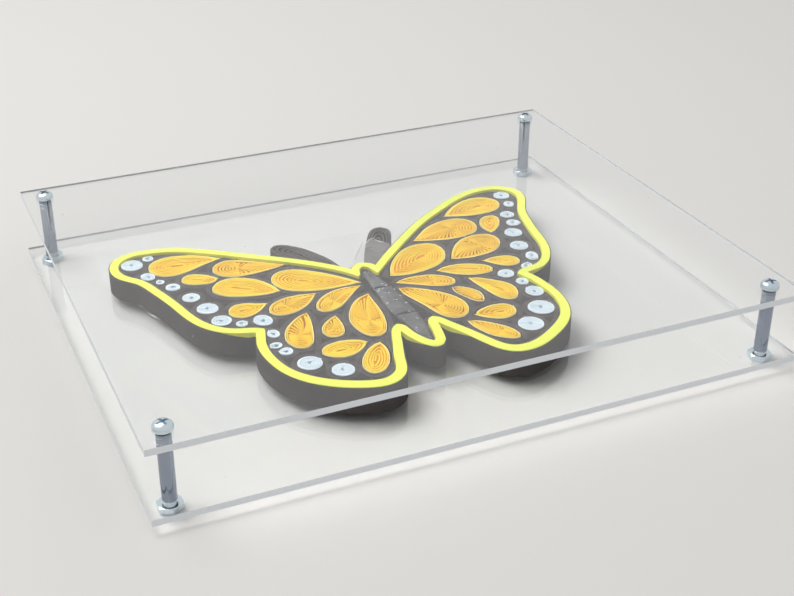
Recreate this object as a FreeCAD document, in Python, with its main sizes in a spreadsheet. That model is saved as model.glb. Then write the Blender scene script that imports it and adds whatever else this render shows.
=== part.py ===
# Quilled paper butterfly, standing between two clear acrylic sheets
# The sheets are held apart by spacer tubes on four screws, with nuts underneath as feet.
# Frame: origin under the middle of the sheets, X to the right wing, Y towards the antennae, Z up.

import FreeCAD, Part
import math
import os
import Sketcher

V = FreeCAD.Vector
UP = V(0, 0, 1)

doc = FreeCAD.newDocument("QuilledButterfly")

# Driving dimensions, in millimetres
SIZES = {
    "sheet_length": 304.8,
    "sheet_width": 254.0,
    "sheet_thickness": 3.0,
    "hole_inset_left": 10.2,
    "hole_inset_right": 12.6,
    "hole_inset_front": 11.1,
    "hole_inset_back": 13.1,
    "screw_diameter": 4.8,
    "hole_play": 0.4,
    "head_diameter": 8.7,
    "head_height": 3.6,
    "recess_span": 5.0,
    "recess_slot": 1.1,
    "recess_depth": 1.8,
    "thread_end_inset": 0.4,
    "tube_wall": 0.55,
    "tube_length": 29.6,
    "nut_width": 10.0,
    "nut_height": 3.2,
    "wingspan": 232.0,
    "rim_height": 11.6,
    "rim_width": 4.3,
    "front_spread": 1.3,
    "strip_thickness": 0.5,
    "strip_drop": 0.4,
    "quill_height": 10.2,
    "turn_depth": 0.5,
    "turn_gap": 0.7,
    "spot_height": 10.4,
    "filling_height": 9.8,
    "paper_gap": 0.12,
    "body_side_height": 9.0,
    "body_rise": 2.6,
    "body_arch_width": 15.0,
    "segment_gap": 0.3,
    "antenna_height": 5.0,
}

# The outlines below are drawn in millimetres for this wingspan.
DRAWN_SPAN = 232.0

# Straight runs per quill, spot and eye, and the chord of the long edge
QUILL_SIDES = 22
SPOT_SIDES = 16
EYE_SIDES = 6
EDGE_CHORD = 2.6

# Corner forms of an outline that is drawn wider or narrower
ROUND_CORNERS = 0
TANGENT_CORNERS = 1
SHARP_CORNERS = 2

# Least count of runs of a fold's edge, and the runs round the body
LEAST_RUNS = 4
BODY_SIDES = 40

# Turns that show on a coil, as shares of its outline, and the eye of a tight coil
QUILL_TURNS = (0.84, 0.58)
SPOT_TURNS = (0.72,)
SPOT_EYE = 0.7

# How far past a coil's middle its eye lies, and how far the dome of a screw head would spread
EYE_REACH = 1.12
DOME_SPREAD = 0.56

# The rim starts to spread at this Y, over this length
SPREAD_START = -58
SPREAD_LENGTH = 16

# Least area of a patch of black strips that is still a piece of its own, in square millimetres
SMALLEST_PATCH = 1.5

sheet = doc.addObject("Spreadsheet::Sheet", "Sizes")
for row, (alias, value) in enumerate(SIZES.items(), start=1):
    sheet.set(f"A{row}", alias)
    sheet.set(f"B{row}", str(value))
    sheet.setAlias(f"B{row}", alias)
doc.recompute()

size = {alias: float(sheet.get(alias)) for alias in SIZES}
scale = size["wingspan"] / DRAWN_SPAN

# Heights of the stack, from the foot nuts up
FLOOR = "(Sizes.nut_height + Sizes.sheet_thickness)"
TOP_SHEET = f"({FLOOR} + Sizes.tube_length)"
HEAD_SEAT = f"({TOP_SHEET} + Sizes.sheet_thickness)"

# Screw places, as expressions of the sheet's size
LEFT = "(Sizes.hole_inset_left - Sizes.sheet_length / 2)"
RIGHT = "(Sizes.sheet_length / 2 - Sizes.hole_inset_right)"
FRONT = "(Sizes.hole_inset_front - Sizes.sheet_width / 2)"
BACK = "(Sizes.sheet_width / 2 - Sizes.hole_inset_back)"
CORNERS = {
    "front_left": (LEFT, FRONT),
    "front_right": (RIGHT, FRONT),
    "back_left": (LEFT, BACK),
    "back_right": (RIGHT, BACK),
}

# How far each nut is turned as it was tightened, in degrees
NUT_TURNS = {"front_left": 30, "front_right": 16, "back_left": 8, "back_right": 24}

nodes = []


def keep(obj, label):
    """Give a finished piece its own name and list it for export."""
    obj.Label = label
    nodes.append(obj)
    return obj


def place(obj, x="0", y="0", z="0"):
    """Bind an object's position to expressions."""
    obj.setExpression("Placement.Base.x", x)
    obj.setExpression("Placement.Base.y", y)
    obj.setExpression("Placement.Base.z", z)
    return obj


def plan(name, shape, z):
    """A flat drawing that lies at height z."""
    obj = doc.addObject("Part::Feature", name)
    obj.Shape = shape
    return place(obj, z=z)


def raised(name, base, height):
    """Closed solid that stands on a flat drawing."""
    obj = doc.addObject("Part::Extrusion", name)
    obj.Base = base
    obj.DirMode = "Custom"
    obj.Dir = UP
    obj.Solid = True
    obj.setExpression("LengthFwd", height)
    return obj


def cut(name, base, tool):
    obj = doc.addObject("Part::Cut", name)
    obj.Base = base
    obj.Tool = tool
    return obj


def cylinder(name, diameter, height, x, y, z):
    obj = doc.addObject("Part::Cylinder", name)
    obj.setExpression("Radius", f"({diameter}) / 2")
    obj.setExpression("Height", height)
    return place(obj, x, y, z)


def group(label, members):
    """Identical pieces that share one name."""
    obj = doc.addObject("Part::Compound", label)
    obj.Links = members
    return keep(obj, label)


# Acrylic sheets

def origin_plane(body, role):
    return next(f for f in body.Origin.OriginFeatures if f.Role == role)


def acrylic_sheet(label, z):
    """A sheet with four screw holes near its corners."""
    body = doc.addObject("PartDesign::Body", label)
    outline = body.newObject("Sketcher::SketchObject", f"{label}_outline")
    outline.AttachmentSupport = [(origin_plane(body, "XY_Plane"), "")]
    outline.MapMode = "FlatFace"
    half_x = size["sheet_length"] / 2
    half_y = size["sheet_width"] / 2
    corner = [V(-half_x, -half_y), V(half_x, -half_y), V(half_x, half_y), V(-half_x, half_y)]
    for i in range(4):
        outline.addGeometry(Part.LineSegment(corner[i], corner[(i + 1) % 4]))
    for i in range(4):
        outline.addConstraint(Sketcher.Constraint("Coincident", i, 2, (i + 1) % 4, 1))
        outline.addConstraint(Sketcher.Constraint("Horizontal" if i % 2 == 0 else "Vertical", i))
    outline.addConstraint(Sketcher.Constraint("Symmetric", 0, 1, 1, 2, -1, 1))
    length = outline.addConstraint(Sketcher.Constraint("DistanceX", 0, 1, 0, 2, 2 * half_x))
    width = outline.addConstraint(Sketcher.Constraint("DistanceY", 1, 1, 1, 2, 2 * half_y))
    outline.setExpression(f"Constraints[{length}]", "Sizes.sheet_length")
    outline.setExpression(f"Constraints[{width}]", "Sizes.sheet_width")
    pad = body.newObject("PartDesign::Pad", f"{label}_pad")
    pad.Profile = outline
    pad.setExpression("Length", "Sizes.sheet_thickness")
    doc.recompute()

    holes = body.newObject("Sketcher::SketchObject", f"{label}_holes")
    holes.AttachmentSupport = [(origin_plane(body, "XY_Plane"), "")]
    holes.MapMode = "FlatFace"
    hole_radius = (size["screw_diameter"] + size["hole_play"]) / 2
    left = size["hole_inset_left"] - half_x
    right = half_x - size["hole_inset_right"]
    front = size["hole_inset_front"] - half_y
    back = half_y - size["hole_inset_back"]
    centres = [V(left, front), V(right, front), V(left, back), V(right, back)]
    for i, (centre, (x, y)) in enumerate(zip(centres, CORNERS.values())):
        holes.addGeometry(Part.Circle(centre, UP, hole_radius))
        across = holes.addConstraint(Sketcher.Constraint("DistanceX", -1, 1, i, 3, centre.x))
        along = holes.addConstraint(Sketcher.Constraint("DistanceY", -1, 1, i, 3, centre.y))
        radius = holes.addConstraint(Sketcher.Constraint("Radius", i, hole_radius))
        holes.setExpression(f"Constraints[{across}]", x)
        holes.setExpression(f"Constraints[{along}]", y)
        holes.setExpression(f"Constraints[{radius}]", "(Sizes.screw_diameter + Sizes.hole_play) / 2")
    pocket = body.newObject("PartDesign::Pocket", f"{label}_drilled")
    pocket.Profile = holes
    pocket.Type = "ThroughAll"
    pocket.Reversed = True
    body.Tip = pocket
    doc.recompute()
    if pocket.Shape.Volume > pad.Shape.Volume - math.pi * hole_radius ** 2:
        raise RuntimeError(f"{label}: the screw holes cut nothing")
    return keep(place(body, z=z), label)


# Screws, spacer tubes and nuts

def screw(corner, x, y):
    """Pan head screw with a cross recess; its thread ends inside the foot nut."""
    shank = cylinder(f"shank_{corner}", "Sizes.screw_diameter",
                     f"{HEAD_SEAT} - Sizes.thread_end_inset", x, y, "Sizes.thread_end_inset")
    blank = cylinder(f"head_blank_{corner}", "Sizes.head_diameter", "Sizes.head_height",
                     x, y, HEAD_SEAT)
    # The dome's foot circle is a little wider than the head, which leaves a low upright edge.
    dome = doc.addObject("Part::Sphere", f"head_dome_{corner}")
    foot = f"(Sizes.head_diameter * {DOME_SPREAD})"
    radius = f"({foot} * {foot} + Sizes.head_height * Sizes.head_height) / (2 * Sizes.head_height)"
    dome.setExpression("Radius", radius)
    place(dome, x, y, f"{HEAD_SEAT} + Sizes.head_height - {radius}")
    head = doc.addObject("Part::Common", f"head_{corner}")
    head.Base = blank
    head.Tool = dome
    whole = doc.addObject("Part::Fuse", f"screw_blank_{corner}")
    whole.Base = shank
    whole.Tool = head
    slots = []
    for name, long_side, short_side in (("a", "recess_span", "recess_slot"),
                                        ("b", "recess_slot", "recess_span")):
        slot = doc.addObject("Part::Box", f"recess_{name}_{corner}")
        slot.setExpression("Length", f"Sizes.{long_side}")
        slot.setExpression("Width", f"Sizes.{short_side}")
        slot.setExpression("Height", "Sizes.head_height")
        place(slot, f"{x} - Sizes.{long_side} / 2", f"{y} - Sizes.{short_side} / 2",
              f"{HEAD_SEAT} + Sizes.head_height - Sizes.recess_depth")
        slots.append(slot)
    recess = doc.addObject("Part::MultiFuse", f"recess_{corner}")
    recess.Shapes = slots
    return cut(f"screw_{corner}", whole, recess)


def spacer_tube(corner, x, y):
    inside = "(Sizes.screw_diameter + Sizes.hole_play)"
    outer = cylinder(f"tube_outer_{corner}", f"{inside} + 2 * Sizes.tube_wall",
                     "Sizes.tube_length", x, y, FLOOR)
    bore = cylinder(f"tube_bore_{corner}", inside, "Sizes.tube_length", x, y, FLOOR)
    return cut(f"spacer_tube_{corner}", outer, bore)


def nut(name, x, y, z, turn):
    """Hexagon nut, drawn at its thread's crest so that it clears the shank."""
    hexagon = doc.addObject("Part::Prism", f"{name}_hexagon")
    hexagon.Polygon = 6
    hexagon.setExpression("Circumradius", "Sizes.nut_width / sqrt(3)")
    hexagon.setExpression("Height", "Sizes.nut_height")
    place(hexagon, x, y, z)
    hexagon.Placement.Rotation = FreeCAD.Rotation(UP, turn)
    thread = cylinder(f"{name}_thread", "Sizes.screw_diameter", "Sizes.nut_height", x, y, z)
    return cut(name, hexagon, thread)


# Paper outlines

def curve_through(points, count):
    """Corners of straight runs along a smooth open curve through the points."""
    curve = Part.BSplineCurve()
    curve.interpolate(Points=[V(x * scale, y * scale, 0) for x, y in points])
    return curve.toShape().discretize(Number=count)


def closed_wire(corners):
    return Part.makePolygon(corners + [corners[0]])


def towards_front(corner):
    """The rim's strips lie looser round the front of the hindwings, so its outside moves out."""
    share = (SPREAD_START * scale - corner.y) / (SPREAD_LENGTH * scale)
    return corner - V(0, size["front_spread"] * min(1, max(0, share)), 0)


def teardrop(points):
    """Outline that leaves the pinched point, first in the list, and comes back to it."""
    return closed_wire(curve_through(points + points[:1], QUILL_SIDES + 1)[:-1])


def oval(x, y, half_width, half_length, turn=0, sides=SPOT_SIDES):
    """Round or slightly squeezed outline; turn is in degrees."""
    corners = []
    for i in range(sides):
        angle = 2 * math.pi * i / sides
        corner = V(half_width * math.cos(angle), half_length * math.sin(angle), 0)
        corner = FreeCAD.Rotation(UP, turn).multVec(corner)
        corners.append((corner + V(x, y, 0)) * scale)
    return closed_wire(corners)


def shrunk(wire, ratio, eye):
    """A turn nearer the eye of the coil."""
    small = wire.copy()
    small.scale(ratio, eye)
    return small


def ring(outer, inner):
    return Part.Face(outer).cut(Part.Face(inner)).Faces[0]


def turn_rings(wire, ratios, eye):
    """Thin gaps between the turns of a coil, seen from above."""
    reach = max((corner.Point - eye).Length for corner in wire.Vertexes)
    rings = []
    for ratio in ratios:
        inner_ratio = ratio - size["turn_gap"] / reach
        rings.append(ring(shrunk(wire, ratio, eye), shrunk(wire, inner_ratio, eye)))
    return rings


def coil_eye(wire, point):
    """The eye lies in the round end, past the middle as seen from the pinched point."""
    middle = Part.Face(wire).CenterOfMass
    return point + (middle - point) * EYE_REACH


def quill(label, points, height="Sizes.quill_height", turns=QUILL_TURNS):
    """Strip wound into a loose coil and pinched to a point: one solid with its turns."""
    wire = teardrop(points)
    eye = coil_eye(wire, wire.Vertexes[0].Point)
    outline = plan(f"{label}_outline", Part.Face(wire), FLOOR)
    blank = raised(f"{label}_blank", outline, height)
    gaps = plan(f"{label}_gaps", Part.Compound(turn_rings(wire, turns, eye)),
                f"{FLOOR} + {height} - Sizes.turn_depth")
    grooves = raised(f"{label}_grooves", gaps, "Sizes.turn_depth")
    keep(cut(label, blank, grooves), label)
    return wire


def arch_face(y):
    """Upright section of the body's dome, in the plane at y."""
    middle = BODY_AXIS_X * scale
    half = size["body_arch_width"] / 2
    side = size["body_side_height"]
    low_left, low_right = V(middle - half, y, 0), V(middle + half, y, 0)
    left, right = V(middle - half, y, side), V(middle + half, y, side)
    crown = V(middle, y, side + size["body_rise"])
    walls = Part.makePolygon([left, low_left, low_right, right]).Edges
    return Part.Face(Part.Wire([Part.Arc(right, crown, left).toShape()] + walls))


def spots(label, ovals):
    """Tight white coils of one wing, each with a small eye."""
    wires = [oval(*values) for values in ovals]
    outline = plan(f"{label}_outline", Part.Compound([Part.Face(wire) for wire in wires]), FLOOR)
    blank = raised(f"{label}_blank", outline, "Sizes.spot_height")
    gaps = []
    for wire, values in zip(wires, ovals):
        centre = V(values[0], values[1], 0) * scale
        gaps += turn_rings(wire, SPOT_TURNS, centre)
        gaps.append(Part.Face(oval(values[0], values[1], SPOT_EYE, SPOT_EYE, sides=EYE_SIDES)))
    drawing = plan(f"{label}_gaps", Part.Compound(gaps),
                   f"{FLOOR} + Sizes.spot_height - Sizes.turn_depth")
    grooves = raised(f"{label}_grooves", drawing, "Sizes.turn_depth")
    keep(cut(label, blank, grooves), label)
    return wires


# Inner edge of the yellow rim, from fold to fold, anticlockwise seen from above
HEAD_LEFT = (-13.0, 2.7)
HEAD_RIGHT = (-2.9, 2.2)
RIGHT_NOTCH = (59.8, -25.8)
TAIL_RIGHT = (3.2, -47.5)
TAIL_LEFT = (-15.0, -47.5)
LEFT_NOTCH = (-72.1, -27.4)

LEFT_FOREWING_EDGE = [
    LEFT_NOTCH, (-75, -25.3), (-83.3, -22.4), (-91.7, -16.2), (-97.5, -5.3), (-100.8, 8),
    (-103.8, 19.7), (-107.1, 30.5), (-112.1, 42.2), (-117.5, 48.8), (-119.3, 56.5),
    (-117, 63.5), (-110, 68), (-102.7, 68.2), (-95.4, 67.1), (-78.8, 59.5), (-61.2, 46.9),
    (-42.1, 32.8), (-24.2, 17.2), (-17, 8.8), HEAD_LEFT,
]
HEAD_EDGE = [
    HEAD_LEFT, (-10.6, 7.2), (-9.3, 10.3), (-7.3, 11.6), (-5.3, 10.3), (-4.2, 7), HEAD_RIGHT,
]
RIGHT_FOREWING_EDGE = [
    HEAD_RIGHT, (3, 8.5), (9.8, 15.6), (26.2, 31.4), (42.7, 45.9), (59.1, 57.2), (75.1, 66.5),
    (88.7, 69.9), (97.4, 68.6), (102.8, 64), (104.1, 58.8), (101.2, 50.3), (95.5, 39.5),
    (91.5, 25.8), (88.6, 12.1), (86.1, -0.9), (81.3, -12.1), (72.9, -20.2), (63.3, -22.6),
    RIGHT_NOTCH,
]
RIGHT_HINDWING_EDGE = [
    RIGHT_NOTCH, (62.3, -31), (64, -38.9), (64.9, -49.5), (63.6, -59.5), (59.8, -68),
    (52.5, -75.7), (42.5, -82.6), (32.5, -86.6), (25.6, -85.8), (19.1, -77.2), (13.1, -63.9),
    (8.1, -53.9), (5.6, -49.3), TAIL_RIGHT,
]
TAIL_EDGE = [
    TAIL_RIGHT, (0.6, -48.9), (-1.6, -55.8), (-3.1, -63), (-5.4, -68), (-8.1, -64.5),
    (-11.3, -54.5), (-12.4, -49.7), TAIL_LEFT,
]
LEFT_HINDWING_EDGE = [
    TAIL_LEFT, (-17.6, -49.4), (-22.5, -59.5), (-28.1, -74.5), (-31.9, -84.1), (-37.5, -88),
    (-46.3, -87), (-56.3, -82.3), (-66.3, -74.4), (-72.8, -65.1), (-75.8, -54), (-75.6, -40),
    (-73.1, -31.4), LEFT_NOTCH,
]
EDGE_RUNS = [
    LEFT_FOREWING_EDGE, HEAD_EDGE, RIGHT_FOREWING_EDGE, RIGHT_HINDWING_EDGE, TAIL_EDGE,
    LEFT_HINDWING_EDGE,
]

# Orange quills: the pinched point first, then the outline around the round end
QUILLS = {
    "left_forewing": [
        [(-68.7, 50.9), (-75.3, 56.7), (-83.4, 61.3), (-91.2, 63.4), (-99, 62.2), (-104.4, 57.5),
         (-105.6, 51.5), (-102.4, 44.5), (-95, 41.7), (-84, 45), (-76, 48.4)],
        [(-41.5, 31.6), (-44.7, 34.2), (-51.6, 39.3), (-58.8, 44.5), (-66.7, 48), (-73.6, 45.6),
         (-76.8, 39.3), (-74.6, 32.8), (-69, 29), (-61, 28.2), (-50, 29.4)],
        [(-76.2, 30.6), (-78.6, 34.4), (-83.3, 38.8), (-88.8, 40.4), (-93, 37.8), (-93.6, 33),
         (-90.4, 29.4), (-85.8, 27.6), (-81.6, 27)],
        [(-52.8, 6.4), (-53.6, 11), (-56, 17.6), (-60.5, 23.6), (-66, 27.4), (-73.3, 29),
         (-79.6, 26), (-83, 19.7), (-80.6, 13.6), (-75, 9.4), (-67.5, 6.8), (-59.2, 5.5)],
        [(-13.4, -1.3), (-17, 4.2), (-21.9, 10.4), (-28.5, 17.6), (-35, 23), (-42.5, 26.3),
         (-49.6, 24.6), (-53.4, 19), (-53.7, 13.6), (-50.6, 6.6), (-44, 1.8), (-35, -1), (-24, -1.8)],
        [(-62.1, -2.8), (-69.6, 0.4), (-76.7, 2), (-81, -0.8), (-82.4, -5.6), (-80.6, -9.8),
         (-76.4, -12), (-71.2, -11), (-66.2, -7.4)],
        [(-37.7, -2.8), (-44, -1.2), (-51, -0.8), (-58.4, -2.6), (-63.2, -7), (-64.2, -12.8),
         (-61.2, -16.4), (-54.6, -17), (-47.2, -13.8), (-41.6, -8.4)],
        [(-15, -4), (-23, -2.8), (-31, -4), (-37.4, -7.8), (-41.6, -12.8), (-42.8, -18),
         (-40.6, -21.6), (-36.4, -22.2), (-31.4, -20), (-26, -15), (-20.6, -9.2)],
    ],
    "left_hindwing": [
        [(-14.9, -13.2), (-19.4, -14.6), (-24.6, -18.4), (-28.8, -23.9), (-32, -30.2),
         (-33.3, -37), (-32.7, -43.8), (-30.6, -49.4), (-26.6, -52.6), (-22.4, -51.4),
         (-18.8, -46.4), (-16.2, -38), (-15, -26)],
        [(-37, -26.6), (-41.3, -28.9), (-45, -32), (-47.8, -36), (-48.3, -40.2), (-46.8, -44.2),
         (-43, -45.7), (-39.4, -44.2), (-37.2, -39.6), (-36.4, -33)],
        [(-48.5, -19), (-52.8, -20.4), (-57.8, -24.1), (-62.2, -28.6), (-65.2, -34),
         (-66.3, -39.6), (-65.2, -45), (-61.8, -48.8), (-57.4, -48.4), (-54, -44.4),
         (-51.4, -36.8), (-49.2, -28)],
        [(-32.6, -55.1), (-35.4, -51.8), (-39.8, -49.8), (-45, -49), (-50.4, -50), (-54.4, -53),
         (-55.2, -56.8), (-52.4, -61), (-46.6, -63.7), (-40.4, -62.4), (-35.8, -59.2)],
        [(-27.2, -57.4), (-31.4, -58.4), (-36, -61.8), (-40.2, -66.8), (-42.7, -72.4),
         (-42.8, -77.6), (-40.6, -80.9), (-36.2, -81), (-32, -77.8), (-28.8, -72.8),
         (-26.6, -66)],
    ],
    "right_forewing": [
        [(55.9, 50.9), (60.4, 56), (66.3, 61), (72.9, 64.8), (80, 66.6), (86.8, 65.2),
         (91.4, 60.8), (92.6, 55.6), (90.4, 50.4), (86, 47), (79, 45.5), (71, 46), (63, 48.2)],
        [(70.4, 23.2), (69, 29), (70, 36), (73, 40.8), (77.5, 42.4), (81.6, 41.6), (82.8, 38),
         (81.4, 33.4), (78.2, 28.8), (74.4, 25.2)],
        [(28.7, 30.3), (33.6, 35.2), (39.6, 40.8), (46.6, 45), (54.2, 46.9), (61, 46.4),
         (66, 43.4), (68.1, 38.6), (67.6, 32.8), (64.6, 28), (59.4, 25.4), (50, 24.4), (39, 26.6)],
        [(38, 4.2), (39.8, 8), (43.6, 14.2), (48.5, 19.8), (54.3, 23.4), (60.4, 24.6),
         (66.6, 23.5), (70.6, 19.6), (71.2, 14.4), (68.2, 8), (62.4, 3.5), (55, 1.7), (46.4, 1.7)],
        [(2.1, -0.4), (3.6, 4), (7, 10.8), (12.6, 17.9), (18.4, 23.2), (25, 26.2), (32.4, 26),
         (37.4, 23.3), (39.3, 18), (38.6, 11.4), (35.2, 5.4), (29.2, 0.6), (21.7, -2), (12, -2.9)],
        [(51.4, -3.7), (57, -2.3), (62.6, -2.3), (67.4, -4.2), (69.7, -7.8), (69.2, -12.2),
         (65.8, -14.6), (61.4, -14.4), (57.2, -11.4), (53.8, -7)],
        [(25.5, -4.5), (30.4, -2.1), (36.8, -1.7), (43.2, -3.3), (49, -6.6), (52.8, -10.8),
         (52.4, -15), (47.8, -16.9), (41.6, -16.3), (35.2, -13.4), (29.8, -9)],
        [(1.7, -8.3), (6.8, -5.8), (14.2, -5.3), (21.6, -6.8), (27.4, -11), (30.3, -15.8),
         (29.2, -19.8), (24.8, -21), (19.2, -19.5), (12.2, -15.2), (5.6, -10.8)],
    ],
    "right_hindwing": [
        [(1, -14), (6.3, -15.4), (11.9, -19), (17.5, -24), (21.9, -29.6), (24.4, -35),
         (25, -40.6), (23.6, -46), (20.2, -50.2), (16, -51.9), (12.2, -50.8), (9, -47),
         (6.9, -41), (4.6, -32), (1.4, -22)],
        [(25.4, -23.2), (29, -23.8), (32.4, -26.2), (35.2, -30), (36.2, -34.4), (35.2, -39),
         (32.5, -42.2), (29.4, -40.2), (26.8, -35), (24.6, -29)],
        [(36.9, -17.4), (41.4, -19.4), (46.3, -22.8), (50.2, -26.6), (53.2, -31), (54, -36),
         (52.6, -41), (49.6, -44.8), (46.2, -45.9), (42.8, -43.6), (40.4, -38.4), (38.8, -31),
         (37.4, -23.6)],
        [(22.8, -51.8), (25.8, -48.8), (30, -47.1), (35.2, -46.3), (40, -47.2), (43.2, -49.8),
         (44, -53.4), (42.6, -57.4), (39.2, -60), (34.8, -60.8), (30.4, -59.3), (26.2, -56)],
        [(17.4, -56), (21.9, -57.2), (26.4, -60.6), (30.7, -65.3), (33.8, -70.4), (34.6, -75),
         (33.2, -78.8), (30.4, -79.2), (26.6, -77.2), (22.6, -73.6), (19.6, -68), (17.7, -62)],
    ],
}

# White spots: centre, half width, half length and turn
SPOTS = {
    "left_forewing": [
        (-111.8, 60.9, 5.3, 5.6), (-102.6, 64.9, 2.7, 2.7), (-107.5, 45.9, 3.3, 4.0, 20),
        (-103.4, 38.1, 2.1, 2.1), (-99.2, 30.5, 3.5, 3.5), (-94, 16.8, 4.2, 4.2),
        (-90, 3.3, 5.1, 5.1), (-87.3, -10.3, 4.7, 4.7), (-79.6, -16.8, 2.7, 2.7),
        (-69.6, -17.7, 4.3, 5.1, 10),
    ],
    "left_hindwing": [
        (-69.3, -31.4, 2.8, 3.6), (-71.7, -41.7, 2.9, 2.5), (-69.2, -48.3, 3.1, 3.1),
        (-63.1, -61.9, 5.6, 5.6), (-51.7, -72.8, 5.1, 5.1),
    ],
    "right_forewing": [
        (97.6, 62.4, 4.4, 4.4), (96, 50.7, 2.8, 3.4, -20), (88.8, 39.1, 3.8, 3.8),
        (86.9, 28.8, 3.6, 3.6), (81.3, 18.2, 4.6, 4.7), (76.7, 3.4, 4.6, 4.8),
        (77.1, -9.4, 3.1, 4.6, -20), (69.4, -17.9, 3.4, 2.4, 30), (55.8, -21.4, 4.1, 4.1),
    ],
    "right_hindwing": [
        (59.4, -31.8, 2.9, 3.5), (60, -42.9, 4.3, 4.9), (54.9, -58.4, 6.3, 6.4),
        (43, -70.1, 6, 6.1),
    ],
}

# Body, from the head down the right side and back up the left side
BODY_OUTLINE = [
    (-8.6, 8.2), (-6.8, 8.7), (-5.2, 7.4), (-4.2, 2.8), (-3, -3), (-1.7, -11), (-1.1, -20),
    (-0.8, -29), (-0.6, -38), (-1.1, -47.4), (-2.5, -55.6), (-3.9, -61.6), (-5.2, -66),
    (-6.8, -62), (-8.8, -54.4), (-10.5, -46), (-11.7, -35), (-11.7, -24), (-11, -15),
    (-10.3, -6), (-9.8, 1.4), (-9.6, 5.8),
]
BODY_AXIS_X = -6.2
BODY_SEAMS = {"thorax": (12, -10), "abdomen_front": (-10, -38), "abdomen_rear": (-38, -68)}

# Antennae, from the foot between wing and head, round the club and back
ANTENNAE = {
    "antenna_left": [(-13.8, 18.6), (-12.9, 28), (-15, 38.6), (-18.6, 47), (-22.9, 55),
                     (-28.6, 61.4), (-34.4, 64.4), (-39, 62.6), (-39.6, 57), (-36.6, 49),
                     (-31.4, 40.4), (-24.6, 31), (-18.4, 23.4)],
    "antenna_right": [(0.2, 16.4), (8, 23.8), (15.2, 32), (21, 40.6), (25.4, 49.6),
                      (27.4, 56.6), (25.6, 61.8), (21.6, 63), (17.4, 60.8), (12.8, 54.6),
                      (8, 45.8), (3.2, 36), (-0.4, 26)],
}


# Hardware and sheets
acrylic_sheet("acrylic_bottom_sheet", "Sizes.nut_height")
acrylic_sheet("acrylic_top_sheet", TOP_SHEET)
group("screws", [screw(corner, x, y) for corner, (x, y) in CORNERS.items()])
group("spacer_tubes", [spacer_tube(corner, x, y) for corner, (x, y) in CORNERS.items()])
group("foot_nuts", [nut(f"foot_nut_{corner}", x, y, "0", NUT_TURNS[corner])
                    for corner, (x, y) in CORNERS.items()])

# Yellow rim and the black strip around it
edge_corners = []
for run in EDGE_RUNS:
    length = sum(math.dist(a, b) for a, b in zip(run, run[1:]))
    edge_corners += curve_through(run, max(LEAST_RUNS, round(length / EDGE_CHORD)) + 1)[:-1]
inner_edge = closed_wire(edge_corners)
spread_edge = closed_wire([towards_front(corner) for corner in edge_corners])
rim_edge = spread_edge.makeOffset2D(size["rim_width"], join=ROUND_CORNERS)
strip_edge = spread_edge.makeOffset2D(size["rim_width"] + size["strip_thickness"],
                                      join=ROUND_CORNERS)
rim_plan = plan("rim_plan", ring(rim_edge, inner_edge), FLOOR)
keep(raised("yellow_rim", rim_plan, "Sizes.rim_height"), "yellow_rim")
strip_plan = plan("strip_plan", ring(strip_edge, rim_edge), FLOOR)
keep(raised("black_outer_strip", strip_plan, "Sizes.rim_height - Sizes.strip_drop"),
     "black_outer_strip")

# Coils of the wings
pockets = []
for wing, outlines in QUILLS.items():
    for number, points in enumerate(outlines, start=1):
        pockets.append(quill(f"quill_{wing}_{number}", points))
    pockets += spots(f"white_spots_{wing}", SPOTS[wing])

# Body in three domed rolls, parted by thin seams
body_outline = closed_wire(curve_through(BODY_OUTLINE + BODY_OUTLINE[:1], BODY_SIDES + 1)[:-1])
pockets.append(body_outline)
body_plan = plan("body_plan", Part.Face(body_outline), FLOOR)
body_blank = raised("body_blank", body_plan, "Sizes.body_side_height + Sizes.body_rise")
for label, (start, end) in BODY_SEAMS.items():
    arch = plan(f"{label}_arch", arch_face(start * scale - size["segment_gap"]), FLOOR)
    reach = doc.addObject("Part::Extrusion", f"{label}_reach")
    reach.Base = arch
    reach.DirMode = "Custom"
    reach.Dir = V(0, -1, 0)
    reach.Solid = True
    reach.setExpression("LengthFwd", f"{(start - end) * scale} - Sizes.segment_gap")
    roll = doc.addObject("Part::Common", label)
    roll.Base = body_blank
    roll.Tool = reach
    keep(roll, label)

# Antennae, two black coils that stand on the sheet between head and wings
for label, points in ANTENNAE.items():
    quill(label, points, height="Sizes.antenna_height")

# Black strips that fill the wings around the coils
room = Part.Face(inner_edge.makeOffset2D(-size["paper_gap"], join=TANGENT_CORNERS))
taken = [Part.Face(wire.makeOffset2D(size["paper_gap"], join=SHARP_CORNERS)) for wire in pockets]
patches = [face for face in room.cut(taken).Faces if face.Area > SMALLEST_PATCH]
filling_plan = plan("filling_plan", Part.Compound(patches), FLOOR)
keep(raised("black_filling", filling_plan, "Sizes.filling_height"), "black_filling")

doc.recompute()
failed = [obj.Name for obj in doc.Objects if {"Invalid", "Error"} & set(obj.State)]
if failed:
    raise RuntimeError(f"these objects failed: {failed}")
for node in nodes:
    if node.Shape.isNull() or not node.Shape.isValid():
        raise RuntimeError(f"{node.Label}: the shape is null or not valid")

os.makedirs("parts", exist_ok=True)
for node in nodes:
    node.Shape.exportStep(f"parts/{node.Label}.step")
print(f"{len(nodes)} nodes, {sum(len(node.Shape.Solids) for node in nodes)} solids")
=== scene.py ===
"""Quilled paper butterfly between two clear acrylic sheets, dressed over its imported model."""

import math

import bmesh
import bpy
import numpy as np
from mathutils import Matrix, Vector, kdtree, noise


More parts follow.
